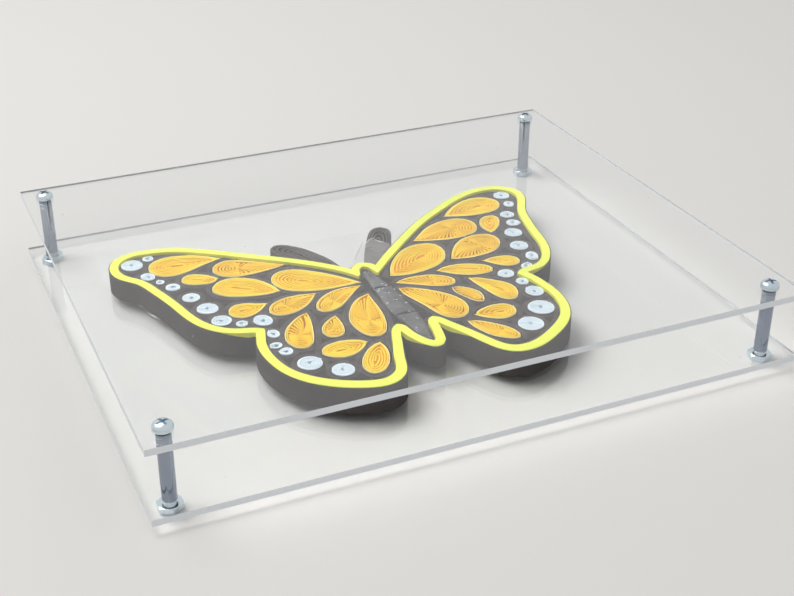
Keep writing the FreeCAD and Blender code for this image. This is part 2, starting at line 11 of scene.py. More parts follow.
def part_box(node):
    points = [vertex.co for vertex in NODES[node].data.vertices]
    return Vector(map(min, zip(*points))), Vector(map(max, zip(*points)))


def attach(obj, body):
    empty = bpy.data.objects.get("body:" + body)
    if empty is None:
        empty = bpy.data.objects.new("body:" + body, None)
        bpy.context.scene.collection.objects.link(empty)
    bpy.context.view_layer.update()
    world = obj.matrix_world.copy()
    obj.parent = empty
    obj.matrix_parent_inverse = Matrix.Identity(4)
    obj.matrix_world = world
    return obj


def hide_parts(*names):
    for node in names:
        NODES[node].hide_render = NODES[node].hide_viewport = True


bl_info = {
    "name": "Quilled Paper Butterfly",
    "version": (1, 0, 0),
    "blender": (4, 5, 0),
    "location": "3D View > Sidebar > Butterfly",
    "description": "Paper coils, folded rim and acrylic mount of a quilled butterfly",
    "category": "Object",
}

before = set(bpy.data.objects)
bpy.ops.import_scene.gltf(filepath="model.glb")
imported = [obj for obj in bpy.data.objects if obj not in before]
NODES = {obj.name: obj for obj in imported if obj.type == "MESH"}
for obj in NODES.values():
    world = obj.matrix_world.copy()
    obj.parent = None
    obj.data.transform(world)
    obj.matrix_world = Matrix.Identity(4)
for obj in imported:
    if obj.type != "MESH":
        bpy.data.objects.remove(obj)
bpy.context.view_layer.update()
BODY = "root"

QUILLS = sorted(name for name in NODES if name.startswith("quill_"))
SPOTS = sorted(name for name in NODES if name.startswith("white_spots_"))

# From this share on, a coil's inside is built as folds
FOLDED = 0.55

# Radius of a screw's shank, in metres
SHANK = 0.0024

# Places along a thread of glue or a fold
TENTHS = [k / 10 for k in range(11)]

# How strongly acrylic bends light
ACRYLIC_IOR = 1.49

# Distance between points along the rim and the strip around it, in metres
RIM_STEP = 0.0013

# A pan head's outline as shares of its half width and height, from its underside up
PAN_HEAD = ((0.55, 0.0), (0.97, 0.0), (1.0, 0.05), (1.0, 0.34), (0.97, 0.5), (0.88, 0.7),
            (0.74, 0.84), (0.56, 0.94), (0.34, 1.0))

# Notches where a hindwing meets the tail or a forewing: the black strip sinks there
NOTCHES = (Vector((0.0045, -0.060)), Vector((-0.0165, -0.058)), Vector((-0.080, -0.0285)),
           Vector((0.067, -0.0265)))

# Corners of the outline of an orange coil, and of a white one
COIL_CORNERS = 72
SPOT_CORNERS = 36

# How strongly the inner turns of each coil fan out from its pinched point, coil by coil
FANNED = {
    "quill_left_forewing": (0.15, 0.6, 0.5, 0.4, 0.0, 0.3, 0.7, 1.0),
    "quill_left_hindwing": (1.0, 0.6, 1.0, 0.3, 0.45),
    "quill_right_forewing": (0.1, 0.1, 0.55, 0.6, 0.1, 0.1, 0.5, 0.7),
    "quill_right_hindwing": (1.0, 0.7, 0.5, 0.2, 0.6),
}


def tint(red, green, blue):
    """Screen colour from 0 to 255 as the linear colour that a shader takes."""
    parts = []
    for value in (red, green, blue):
        share = value / 255
        parts.append(share / 12.92 if share <= 0.04045 else ((share + 0.055) / 1.055) ** 2.4)
    return (*parts, 1.0)


# Settings

class PaperSettings(bpy.types.PropertyGroup):
    """Strips and colours of the quilled paper."""
    pitch: bpy.props.FloatProperty(
        name="Turn pitch", description="Distance from turn to turn in a loose coil's outer band",
        default=0.00086, unit="LENGTH")
    looseness: bpy.props.FloatProperty(
        name="Looseness", description="How much wider the inner turns of a loose coil lie",
        default=1.5)
    tight_pitch: bpy.props.FloatProperty(
        name="Tight pitch", description="Distance from turn to turn in a white coil",
        default=0.00092, unit="LENGTH")
    rim_strips: bpy.props.IntProperty(
        name="Rim strips", description="Yellow strips side by side in the rim", default=9)
    orange: bpy.props.FloatVectorProperty(
        name="Orange", description="Edge of the orange strips", subtype="COLOR", size=4,
        default=tint(255, 221, 50))
    # Painted shade: a darker amber for the floor deep between the orange turns
    amber_shade: bpy.props.FloatVectorProperty(
        name="Amber", description="Depth between the orange turns", subtype="COLOR", size=4,
        default=tint(238, 168, 32))
    lime: bpy.props.FloatVectorProperty(
        name="Lime", description="Yellow strips of the rim", subtype="COLOR", size=4,
        default=tint(249, 254, 112))
    white: bpy.props.FloatVectorProperty(
        name="White", description="White strips of the spots", subtype="COLOR", size=4,
        default=tint(232, 244, 252))
    black: bpy.props.FloatVectorProperty(
        name="Black", description="Black strips of wings and body", subtype="COLOR", size=4,
        default=tint(92, 87, 86))


class MountSettings(bpy.types.PropertyGroup):
    """Acrylic and hardware."""
    acrylic: bpy.props.FloatVectorProperty(
        name="Acrylic", description="Tint of the clear sheets", subtype="COLOR", size=4,
        default=(0.97, 0.98, 0.98, 1.0))
    sawn: bpy.props.FloatVectorProperty(
        name="Sawn edge", description="Whitish edge of a sheet", subtype="COLOR", size=4,
        default=tint(222, 226, 230))
    zinc: bpy.props.FloatVectorProperty(
        name="Zinc", description="Plating of screws and nuts", subtype="COLOR", size=4,
        default=tint(220, 232, 240))
    pitch: bpy.props.FloatProperty(
        name="Thread pitch", description="Distance from crest to crest of the screws",
        default=0.0009, unit="LENGTH")


class StageSettings(bpy.types.PropertyGroup):
    """Floor, light and camera."""
    floor: bpy.props.FloatVectorProperty(
        name="Floor", description="Colour of the pale floor", subtype="COLOR", size=4,
        default=tint(214, 212, 209))
    sky: bpy.props.FloatProperty(
        name="Sky", description="Strength of the even light from all around", default=0.69)
    key: bpy.props.FloatProperty(
        name="Key lamp", description="Power of the large lamp, in watts", default=10.5)
    lens: bpy.props.FloatProperty(
        name="Lens", description="Focal length for a sensor 36 mm wide", default=60.31)


# Shader groups and materials

def shader_group(name, inputs, outputs):
    """An empty node group with its inputs and outputs."""
    group = bpy.data.node_groups.new(name, "ShaderNodeTree")
    for label, kind, default in inputs:
        socket = group.interface.new_socket(name=label, in_out="INPUT", socket_type=kind)
        socket.default_value = default
    for label, kind in outputs:
        group.interface.new_socket(name=label, in_out="OUTPUT", socket_type=kind)
    return group


def feed(tree, made, inputs):
    """Link each input that is given as a socket, and set any other to its value."""
    for key, value in inputs.items():
        if isinstance(value, bpy.types.NodeSocket):
            tree.links.new(value, made.inputs[key])
        else:
            made.inputs[key].default_value = value


def node(tree, kind, inputs=None, **settings):
    """Add a shader node with its settings and inputs."""
    made = tree.nodes.new(kind)
    for key, value in settings.items():
        setattr(made, key, value)
    feed(tree, made, inputs or {})
    return made


def paper_fibre_group():
    """Cut paper: soft mottling, fine fibres and a little fuzz."""
    group = shader_group(
        "Paper fibre",
        [("Colour", "NodeSocketColor", (1, 1, 1, 1)), ("Shade", "NodeSocketColor", (0, 0, 0, 1)),
         ("Mottle", "NodeSocketFloat", 0.3), ("Fibre", "NodeSocketFloat", 900.0),
         ("Smoothest", "NodeSocketFloat", 0.72)],
        [("Colour", "NodeSocketColor"), ("Roughness", "NodeSocketFloat"),
         ("Height", "NodeSocketFloat")])
    source = node(group, "NodeGroupInput")
    place = node(group, "ShaderNodeTexCoord")
    cloud = node(group, "ShaderNodeTexNoise",
                 {"Vector": place.outputs["Object"], "Scale": 160.0, "Detail": 4.0})
    fibre = node(group, "ShaderNodeTexNoise",
                 {"Vector": place.outputs["Object"], "Scale": source.outputs["Fibre"],
                  "Detail": 3.0})
    both = node(group, "ShaderNodeMath",
                {0: fibre.outputs["Fac"], 1: 0.6, 2: cloud.outputs["Fac"]},
                operation="MULTIPLY_ADD")
    spread = node(group, "ShaderNodeMapRange",
                  {"Value": both.outputs[0], "From Min": 0.55, "From Max": 1.05})
    amount = node(group, "ShaderNodeMath",
                  {0: spread.outputs["Result"], 1: source.outputs["Mottle"]},
                  operation="MULTIPLY")
    blend = node(group, "ShaderNodeMix",
                 {"Factor": amount.outputs[0], "A": source.outputs["Colour"],
                  "B": source.outputs["Shade"]}, data_type="RGBA")
    rough = node(group, "ShaderNodeMapRange",
                 {"Value": fibre.outputs["Fac"], "To Min": source.outputs["Smoothest"],
                  "To Max": 0.92})
    node(group, "NodeGroupOutput",
         {"Colour": blend.outputs["Result"], "Roughness": rough.outputs["Result"],
          "Height": fibre.outputs["Fac"]})
    return group


def handling_group():
    """Fine scratches and faint smears, as on plated metal and acrylic."""
    group = shader_group(
        "Handling marks",
        [("Clean", "NodeSocketFloat", 0.1), ("Worn", "NodeSocketFloat", 0.3),
         ("Grain", "NodeSocketFloat", 400.0)],
        [("Roughness", "NodeSocketFloat"), ("Height", "NodeSocketFloat"),
         ("Smear", "NodeSocketFloat")])
    source = node(group, "NodeGroupInput")
    place = node(group, "ShaderNodeTexCoord")
    stretch = node(group, "ShaderNodeMapping",
                   {"Vector": place.outputs["Object"], "Scale": (1.0, 1.0, 0.08)})
    scratch = node(group, "ShaderNodeTexNoise",
                   {"Vector": stretch.outputs["Vector"], "Scale": source.outputs["Grain"],
                    "Detail": 5.0})
    smears = node(group, "ShaderNodeTexNoise",
                  {"Vector": place.outputs["Object"], "Scale": 14.0, "Detail": 6.0})
    mask = node(group, "ShaderNodeMapRange",
                {"Value": smears.outputs["Fac"], "From Min": 0.52, "From Max": 0.75})
    total = node(group, "ShaderNodeMath",
                 {0: scratch.outputs["Fac"], 1: mask.outputs["Result"]}, operation="MULTIPLY")
    rough = node(group, "ShaderNodeMapRange",
                 {"Value": total.outputs[0], "To Min": source.outputs["Clean"],
                  "To Max": source.outputs["Worn"]})
    node(group, "NodeGroupOutput",
         {"Roughness": rough.outputs["Result"], "Height": scratch.outputs["Fac"],
          "Smear": mask.outputs["Result"]})
    return group


def placed_group(tree, name, make, inputs):
    """A shader group, made once, with this material's own values."""
    group = bpy.data.node_groups.get(name) or make()
    return node(tree, "ShaderNodeGroup", inputs, node_tree=group)


def handled(tree, clean, worn, grain):
    """Handling marks between two roughnesses."""
    return placed_group(tree, "Handling marks", handling_group,
                        {"Clean": clean, "Worn": worn, "Grain": grain})


def raised(tree, marks, strength, distance):
    """Bump from a group's height."""
    made = node(tree, "ShaderNodeBump",
                {"Height": marks.outputs["Height"], "Strength": strength, "Distance": distance})
    return made.outputs["Normal"]


def new_material(name):
    """A material, its node tree and its Principled shader."""
    material = bpy.data.materials.new(name)
    material.use_nodes = True
    return material, material.node_tree, material.node_tree.nodes["Principled BSDF"]


def paper(name, colour, shade, mottle, fibre=900.0, bump=0.3, smooth=0.72, gloss=0.12):
    """Matt paper, from its cut edge or its face."""
    found = bpy.data.materials.get(name)
    if found:
        return found
    material, tree, shader = new_material(name)
    fibres = placed_group(tree, "Paper fibre", paper_fibre_group,
                          {"Colour": colour, "Shade": shade, "Mottle": mottle, "Fibre": fibre,
                           "Smoothest": smooth})
    feed(tree, shader, {"Base Color": fibres.outputs["Colour"],
                        "Roughness": fibres.outputs["Roughness"],
                        "Normal": raised(tree, fibres, bump, 0.00012),
                        "Specular IOR Level": gloss})
    return material


def metal(name, colour, stain, clean, worn, grain):
    """Bare or plated metal with fine drawn lines and dull smears."""
    material, tree, shader = new_material(name)
    marks = handled(tree, clean, worn, grain)
    blend = node(tree, "ShaderNodeMix",
                 {"Factor": marks.outputs["Smear"], "A": colour, "B": stain}, data_type="RGBA")
    feed(tree, shader, {"Base Color": blend.outputs["Result"],
                        "Roughness": marks.outputs["Roughness"],
                        "Normal": raised(tree, marks, 0.3, 0.00005), "Metallic": 1.0})
    return material


def black_edges(settings):
    """Cut edges of the black strips."""
    return paper("Black strip edges", settings.black, tint(124, 118, 116), 0.5, 1300.0, 0.4)


def glue_and_glint():
    """Milky, shiny glue that dried on the paper; on body and antenna its whitish colour also paints
    glints.
    """
    found = bpy.data.materials.get("Dried glue")
    if found:
        return found
    material, tree, shader = new_material("Dried glue")
    marks = handled(tree, 0.2, 0.45, 700.0)
    feed(tree, shader, {"Roughness": marks.outputs["Roughness"],
                        "Base Color": tint(214, 218, 220)})
    return material


def sheen_film():
    """Thin film of glue over black paper; its grey is a painted sheen."""
    material, tree, shader = new_material("Glue film, painted sheen")
    marks = handled(tree, 0.25, 0.6, 260.0)
    blend = node(tree, "ShaderNodeMix",
                 {"Factor": marks.outputs["Height"], "A": tint(94, 91, 89),
                  "B": tint(134, 131, 128)}, data_type="RGBA")
    feed(tree, shader, {"Base Color": blend.outputs["Result"],
                        "Roughness": marks.outputs["Roughness"]})
    return material


def clear_acrylic(colour):
    """Polished face of a clear sheet, which lets most light straight through."""
    material, tree, shader = new_material("Clear acrylic")
    feed(tree, shader, {"Base Color": colour, "Roughness": 0.0, "IOR": ACRYLIC_IOR,
                        "Transmission Weight": 1.0})
    passing = node(tree, "ShaderNodeBsdfTransparent", {"Color": (0.95, 0.95, 0.95, 1.0)})
    path = node(tree, "ShaderNodeLightPath")
    mix = node(tree, "ShaderNodeMixShader",
               {"Fac": path.outputs["Is Shadow Ray"], 1: shader.outputs["BSDF"],
                2: passing.outputs["BSDF"]})
    feed(tree, tree.nodes["Material Output"], {"Surface": mix.outputs["Shader"]})
    return material


def sawn_acrylic(colour):
    """Sawn edge of a sheet: whitish and satin, with fine saw lines."""
    material, tree, shader = new_material("Sawn acrylic edge")
    marks = handled(tree, 0.35, 0.6, 260.0)
    feed(tree, shader, {"Base Color": colour, "Roughness": marks.outputs["Roughness"],
                        "Normal": raised(tree, marks, 0.4, 0.0001), "IOR": ACRYLIC_IOR})
    return material


# Outlines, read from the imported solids

def signed_area(line):
    return sum(a.x * b.y - b.x * a.y for a, b in zip(line, line[1:] + line[:1])) / 2


def holds(line, point):
    """Whether a flat point lies inside a closed line."""
    inside = False
    for a, b in zip(line, line[1:] + line[:1]):
        if (a.y > point.y) != (b.y > point.y):
            if point.x < a.x + (point.y - a.y) * (b.x - a.x) / (b.y - a.y):
                inside = not inside
    return inside


def top_lines(name):
    """Closed edges of a solid's upper faces: outer ones anticlockwise, holes clockwise."""
    work = bmesh.new()
    work.from_mesh(NODES[name].data)
    bmesh.ops.remove_doubles(work, verts=work.verts, dist=2e-6)
    work.normal_update()
    top = max(corner.co.z for corner in work.verts)
    # A list keeps the faces in the mesh's order, so that each run starts the lines alike.
    level = [face for face in work.faces
             if face.normal.z > 0.9 and min(corner.co.z for corner in face.verts) > top - 2e-5]
    upper = set(level)
    follow = {}
    for face in level:
        for loop in face.loops:
            if sum(other in upper for other in loop.edge.link_faces) == 1:
                follow[loop.vert] = loop.link_loop_next.vert
    lines = []
    while follow:
        start, step = follow.popitem()
        line = [Vector((start.co.x, start.co.y))]
        while step != start and step in follow:
            line.append(Vector((step.co.x, step.co.y)))
            step = follow.pop(step)
        lines.append(line)
    work.free()
    return lines


def outer_lines(name):
    """The outermost outlines only, one for each solid of the node."""
    lines = sorted((line for line in top_lines(name) if signed_area(line) > 0),
                   key=signed_area, reverse=True)
    kept = []
    for line in lines:
        if not any(holds(other, line[0]) for other in kept):
            kept.append(line)
    return kept


def from_fold(line):
    """The same closed line, starting at its sharpest fold."""
    def turn(i):
        before = line[i] - line[i - 1]
        after = line[(i + 1) % len(line)] - line[i]
        return abs(before.angle_signed(after))
    first = max(range(len(line)), key=turn)
    return line[first:] + line[:first]


def rounded(line, step, fold=0.75):
    """Smooth closed line through the corners, which keeps the sharp folds."""
    count = len(line)
    heading = []
    for i in range(count):
        before = (line[i] - line[i - 1]).normalized()
        after = (line[(i + 1) % count] - line[i]).normalized()
        if abs(before.angle_signed(after)) > fold:
            heading.append((before, after))
        else:
            heading.append(((before + after).normalized(),) * 2)
    smooth = []
    for i in range(count):
        a, b = line[i], line[(i + 1) % count]
        reach = (b - a).length
        leave = heading[i][1] * reach
        arrive = heading[(i + 1) % count][0] * reach
        for k in range(max(1, round(reach / step))):
            t = k / max(1, round(reach / step))
            smooth.append(a * (2 * t ** 3 - 3 * t ** 2 + 1) + leave * (t ** 3 - 2 * t ** 2 + t)
                          + b * (3 * t ** 2 - 2 * t ** 3) + arrive * (t ** 3 - t ** 2))
    return smooth


def evenly(line, count):
    """Closed line resampled into equal runs, from the same start."""
    loop = line + line[:1]
    marks = [0.0]
    for a, b in zip(loop, loop[1:]):
        marks.append(marks[-1] + (b - a).length)
    points = []
    at = 0
    for k in range(count):
        want = marks[-1] * k / count
        while marks[at + 1] < want:
            at += 1
        share = (want - marks[at]) / max(marks[at + 1] - marks[at], 1e-12)
        points.append(loop[at].lerp(loop[at + 1], share))
    return points


def centre_of(line):
    return sum(line, Vector((0, 0))) / len(line)


def side_ways(line, closed):
    """Unit vectors to the right of a line's direction at each point."""
    ways = []
    last = len(line) - 1
    for i in range(len(line)):
        before = line[i - 1] if i or closed else line[0]
        after = line[(i + 1) % len(line)] if i < last or closed else line[last]
        run = after - before
        ways.append(Vector((run.y, -run.x)).normalized() if run.length > 1e-9 else Vector((1, 0)))
    return ways


def beside(line, away):
    """Closed line moved to the right of its own direction."""
    return [point + way * away for point, way in zip(line, side_ways(line, True))]


def coil_outline(name, count):
    """Outline of a pinched coil, from its pinched point round."""
    return evenly(rounded(from_fold(outer_lines(name)[0]), 0.0008), count)


def spot_outline(line, count):
    """Outline of a round coil, without folds."""
    return evenly(rounded(line, 0.0006, fold=9.0), count)


def unevenness(x, y, z):
    return noise.noise(Vector((x, y, z)))


# Paper strips

class Sheaf:
    """Corners and faces of many strips that become one mesh."""

    def __init__(self):
        self.corners = []
        self.faces = []
        self.slots = []

    def face(self, corners, slot=0):
        self.faces.append(corners)
        self.slots.append(slot)

    def band(self, first, other, sides, slot=0):
        """Faces between two rings of corners."""
        for k in range(sides):
            m = (k + 1) % sides
            self.face((first + k, first + m, other + m, other + k), slot)

    def skin(self, first, sides, slot=0):
        """Faces between all rings of corners from the first on, with a flat face at each end."""
        last = len(self.corners) - sides
        for ring in range(first, last, sides):
            self.band(ring, ring + sides, sides, slot)
        self.face(tuple(range(first + sides - 1, first - 1, -1)), slot)
        self.face(tuple(range(last, last + sides)), slot)

    def strip(self, line, low, high, thickness, closed=False, slot=0, wave=0.0, pale=0):
        """A strip that stands on edge along a line; its upper edge may wave a little.

        High and thickness may be one number each or one for each point, and the
        first runs may carry the painted highlight of slot 2.
        """
        ways = side_ways(line, closed)
        first = len(self.corners)
        for i, (point, way) in enumerate(zip(line, ways)):
            top = high[i] if isinstance(high, list) else high
            half = (thickness[i] if isinstance(thickness, list) else thickness) / 2
            lift = wave * unevenness(point.x * 700, point.y * 700, low * 700)
            left = point - way * half
            right = point + way * half
            self.corners += [(left.x, left.y, low), (left.x, left.y, top + lift),
                             (right.x, right.y, top + lift), (right.x, right.y, low)]
        count = len(line)
        for i in range(count if closed else count - 1):
            a = first + 4 * i
            b = first + 4 * ((i + 1) % count)
            self.band(a, b, 4, 2 if i < pale else slot)
        if not closed:
            last = first + 4 * (count - 1)
            self.face((first, first + 3, first + 2, first + 1), slot)
            self.face((last, last + 1, last + 2, last + 3), slot)

    def slab(self, line, low, high, slot=0):
        """A flat filled block inside a closed line."""
        first = len(self.corners)
        for height in (low, high):
            self.corners += [(point.x, point.y, height) for point in line]
        self.skin(first, len(line), slot)


def in_scene(name, data):
    obj = bpy.data.objects.new(name, data)
    bpy.context.scene.collection.objects.link(obj)
    return obj


def add_piece(name, mesh, materials, stands_for=()):
    """Put a mesh in the scene, on the butterfly's one body."""
    for material in materials:
        mesh.materials.append(material)
    obj = in_scene(name, mesh)
    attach(obj, BODY)
    if stands_for:
        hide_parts(*stands_for)
    return obj


def sheaf_piece(name, sheaf, materials, stands_for=()):
    mesh = bpy.data.meshes.new(name)
    mesh.from_pydata(sheaf.corners, [], sheaf.faces)
    mesh.polygons.foreach_set("material_index", sheaf.slots)
    work = bmesh.new()
    work.from_mesh(mesh)
    bmesh.ops.recalc_face_normals(work, faces=work.faces)
    work.to_mesh(mesh)
    work.free()
    return add_piece(name, mesh, materials, stands_for)


def repaint(name, material):
    """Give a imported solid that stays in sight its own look."""
    materials = NODES[name].data.materials
    materials.clear()
    materials.append(material)


def heights(name):
    low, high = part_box(name)
    return low.z, high.z


def smear(sheaf, middle, way, reach, thick):
    """A small flattened drop, longer one way, on the surface under it."""
    way = way.normalized()
    across = way.cross(Vector((0, 0, 1))).normalized()
    first = len(sheaf.corners)
    sides = 8
    for ring, height in ((1.0, -0.4), (0.8, 0.6), (0.3, 1.0)):
        for k in range(sides):
            angle = math.tau * k / sides
            uneven = 1 + 0.35 * unevenness(middle.x * 4e3 + k, middle.y * 4e3, ring)
            point = (middle + way * math.cos(angle) * reach * ring * uneven
                     + across * math.sin(angle) * reach * 0.4 * ring * uneven)
            sheaf.corners.append((point.x, point.y, point.z + thick * height))
    sheaf.skin(first, sides)


def thread_of_glue(sheaf, points, radius):
    """A thin drawn thread of glue through points in space, thinner at its ends."""
    first = len(sheaf.corners)
    sides = 6
    for i, point in enumerate(points):
        before, after = points[max(0, i - 1)], points[min(len(points) - 1, i + 1)]
        way = (after - before).normalized()
        out = way.cross(Vector((0, 0, 1))).normalized()
        up = out.cross(way)
        size = radius * (0.35 + 0.65 * math.sin(math.pi * (i + 0.5) / len(points)))
        for k in range(sides):
            angle = math.tau * k / sides
            spot = point + (out * math.cos(angle) + up * math.sin(angle)) * size
            sheaf.corners.append(tuple(spot))
    sheaf.skin(first, sides)


def coil_axes(outline):
    """A coil's pinched point, its directions along and across, and each point's place on them."""
    pinch = outline[0]
    along = (centre_of(outline) - pinch).normalized()
    across = Vector((-along.y, along.x))
    flat = [((p - pinch).dot(along), (p - pinch).dot(across)) for p in outline]
    return pinch, along, across, flat


def band_turns(half, pitch):
    """Turns of the even band along a coil's outside."""
    return max(1, min(3, int(half / pitch / 3)))


def coil_line(outline, pitch, looseness, fan, seed):
    """One strip from the outside in: an even band first, then looser turns round the eye.

    Where the coil fans, all its turns meet in the pinched point. Gives the line, how far
    each point lies below the top, and the strip's thickness there.
    """
    pinch, along, across, flat = coil_axes(outline)
    length = max(s for s, _ in flat)
    half = (max(w for _, w in flat) - min(w for _, w in flat)) / 2
    band = band_turns(half, pitch)
    inner = max(2, round((half * 0.88 - band * pitch) / (pitch * looseness)))
    slim_band = 1 - band * pitch / half
    far_band = length - band * pitch
    near_band = band * pitch * 1.3 * (1 - fan)
    eye = (0.62 + 0.1 * fan) * length
    near_end = (eye - 0.09 * length) * (1 - 0.86 * fan)
    far_end = eye + 0.07 * length
    count = len(outline)
    line, drops, widths = [], [], []
    steps = band * count if fan >= FOLDED else (band + inner) * count + count // 3
    for step in range(steps):
        s, w = flat[step % count]
        turn = step / count
        if turn < band:
            share = turn / band
            near = near_band * share
            far = length + (far_band - length) * share
            slim = 1 + (slim_band - 1) * share
            g = 0.0
        else:
            g = min(1.0, (turn - band) / inner)
            near = near_band + (near_end - near_band) * g
            far = far_band + (far_end - far_band) * g
            slim = slim_band + (0.13 - slim_band) * g
        round_side = math.copysign(half * math.sin(math.pi * min(1, max(0, s / length))), w)
        soft = 0.6 * g * (1 - fan)
        place = near + (far - near) * s / length
        ripple = 0.0005 * g * unevenness(place * 170, w * 170, turn * 0.7 + seed * 3.1)
        bow = 0.3 * half * g * fan * math.sin(seed * 1.7) * math.sin(math.pi * place / length)
        side = (w * (1 - soft) + round_side * soft) * slim + ripple + bow
        line.append(pinch + along * place + across * side)
        level = unevenness(turn * 1.9, seed * 2.3, place * 60)
        drops.append(0.00004 + 0.00022 * g + 0.00014 * g * level)
        spread = min(1.0, 0.45 + place / length)
        if turn < 1:
            widths.append(pitch * 0.5)
        else:
            widths.append(pitch * (0.74 if g == 0 else (0.86 + 0.2 * level) * spread))
    return line, drops, widths


def fan_folds(sheaf, outline, pitch, seed, low, high):
    """Inside of a coil whose turns lie as a fan: folds from eye to pinch, arcs on the far side."""
    pinch, along, across, flat = coil_axes(outline)
    length = max(s for s, _ in flat)
    half = max(abs(w) for _, w in flat)
    band = band_turns(half, pitch) * pitch
    eye = pinch + along * 0.64 * length + across * 0.16 * half * math.sin(seed * 1.7)
    inside = [p + (eye - p).normalized() * band for p in outline]
    near = [p for p in inside if abs((p - eye).angle_signed(-along)) < 1.75]
    near.sort(key=lambda p: (p - eye).angle_signed(-along))
    spacing = 2.3 * pitch
    gone = spacing
    for k, (last, edge) in enumerate(zip(near[:1] + near, near)):
        gone += (edge - last).length
        if gone < spacing:
            continue
        gone = 0.0
        reach = (edge - eye).length
        way = (edge - eye).normalized()
        side = Vector((-way.y, way.x)) * 0.1 * reach * math.sin(seed)
        run, tops, widths = [], [], []
        for t in TENTHS:
            distance = 0.14 * half + (reach - 0.14 * half) * t
            run.append(eye + way * distance + side * math.sin(math.pi * t))
            level = unevenness(k * 1.7, t * 2.2, seed)
            tops.append(high - 0.00012 - 0.0003 * (1 - t) + 0.00014 * level)
            widths.append(0.52 * spacing * (0.1 + 0.9 * t))
        sheaf.strip(run, low, tops, widths)
    arcs = max(2, round((length * 0.36 - band) / (1.9 * pitch)))
    for k in range(arcs):
        share = (k + 0.6) / (arcs + 0.4)
        run = [eye + (p - eye) * share for p in inside
               if abs((p - eye).angle_signed(along)) < 1.95 - 0.25 * (k % 2)]
        sheaf.strip(run, low, high - 0.00016 - 0.00016 * (1 - share), 0.95 * pitch, wave=0.0002)
    ring = [eye + Vector((math.cos(step * 0.35), math.sin(step * 0.35))) * half
            * (0.15 - 0.003 * step) for step in range(32)]
    sheaf.strip(ring, low, high - 0.00034, 0.4 * pitch)


def teardrop_coil(name, colours, fan, settings, seed):
    """Build one loose coil, pinched to a point, over its CAD solid."""
    low, high = heights(name)
    outline = coil_outline(name, COIL_CORNERS)
    inset = beside(outline, -0.26 * settings.pitch)
    line, drops, widths = coil_line(inset, settings.pitch, settings.looseness, fan, seed)
    sheaf = Sheaf()
    # The outermost turn takes slot 2, a painted highlight along the coil's edge.
    sheaf.strip(line, low, [high - drop for drop in drops], widths, wave=0.00012,
                pale=len(outline) - 2)
    if fan >= FOLDED:
        fan_folds(sheaf, inset, settings.pitch, seed, low, high)
    middle = centre_of(outline)
    # The core under the turns carries slot 1, the painted shade between turns or folds.
    core = [p.lerp(middle, 0.04) for p in inset]
    sheaf.slab(core, low + 0.0006, high - (0.0022 if fan >= FOLDED else 0.001), slot=1)
    sheaf_piece(name.replace("quill_", "coil_"), sheaf, colours, (name,))


# Operators

class BUTTERFLY_OT_sheets(bpy.types.Operator):
    """Clear acrylic sheets with sawn edges"""
    bl_idname = "butterfly.sheets"
    bl_label = "Acrylic sheets"

    def execute(self, context):
        mount = context.scene.butterfly_mount
        faces = clear_acrylic(mount.acrylic)
        edges = sawn_acrylic(mount.sawn)
        for name in ("acrylic_bottom_sheet", "acrylic_top_sheet"):
            low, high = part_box(name)
            mesh = NODES[name].data.copy()
            mesh.materials.clear()
            for polygon in mesh.polygons:
                centre = polygon.center
                outside = min(abs(centre.x - low.x), abs(centre.x - high.x),
                              abs(centre.y - low.y), abs(centre.y - high.y)) < 1e-5
                polygon.material_index = 1 if outside else 0
            add_piece(name.replace("acrylic", "clear"), mesh, [faces, edges], (name,))
        return {"FINISHED"}


def corner_boxes(name):
    """Low and high corner and all points of each of a node's four pieces, one at each corner."""
    points = [corner.co for corner in NODES[name].data.vertices]
    boxes = []
    for right in (False, True):
        for back in (False, True):
            mine = [p for p in points if (p.x > 0) == right and (p.y > 0) == back]
            low = Vector((min(p[k] for p in mine) for k in range(3)))
            high = Vector((max(p[k] for p in mine) for k in range(3)))
            boxes.append((low, high, mine))
    return boxes


def turned(sheaf, x, y, profile, sides):
    """Rings of a turned piece: (radius, height) from its lower end to its upper end."""
    first = len(sheaf.corners)
    for radius, height in profile:
        for k in range(sides):
            angle = math.tau * k / sides
            sheaf.corners.append((x + radius * math.cos(angle), y + radius * math.sin(angle), height))
    sheaf.skin(first, sides)


def threaded(sheaf, x, y, radius, low, high, pitch):
    """Screw thread: a ridge that winds up the shank."""
    sides = 20
    depth = 0.12 * radius
    rows = math.ceil((high - low) / pitch * 4)
    first = len(sheaf.corners)
    for row in range(rows + 1):
        for k in range(sides):
            angle = math.tau * k / sides
            rise = low + (high - low) * row / rows
            phase = (rise / pitch - k / sides) % 1.0
            reach = radius - depth * abs(2 * phase - 1)
            sheaf.corners.append((x + reach * math.cos(angle), y + reach * math.sin(angle), rise))
    sheaf.skin(first, sides)


def hexagon_nut(sheaf, low, high, bore, flat, corner):
    """Hexagon nut with chamfered corners on both faces, turned so that a corner looks that way."""
    x, y = (low.x + high.x) / 2, (low.y + high.y) / 2
    sides = 48
    # The nut's upper face keeps a hair's breadth from the sheet, so that both show.
    top = high.z - 0.00008
    rings = []
    for height, into, shape in ((low.z, 0.0, "bore"), (low.z, 0.0, "face"), (low.z, 1.0, "hex"),
                                (top, -1.0, "hex"), (top, 0.0, "face"), (top, 0.0, "bore")):
        ring = []
        for k in range(sides):
            angle = math.tau * k / sides
            off = math.pi / 6 - abs((angle + math.pi / 6) % (math.pi / 3) - math.pi / 6)
            hexagon = flat / math.cos(off)
            reach = {"bore": bore, "face": flat * 0.97, "hex": hexagon}[shape]
            drop = max(0.0, hexagon - flat * 0.97) * 0.6 * into
            ring.append((x + reach * math.cos(angle + corner), y + reach * math.sin(angle + corner),
                         height + drop))
        rings.append(ring)
    first = len(sheaf.corners)
    for ring in rings:
        sheaf.corners += ring
    for r in range(len(rings)):
        a = first + r * sides
        sheaf.band(a, first + (r + 1) % len(rings) * sides, sides)


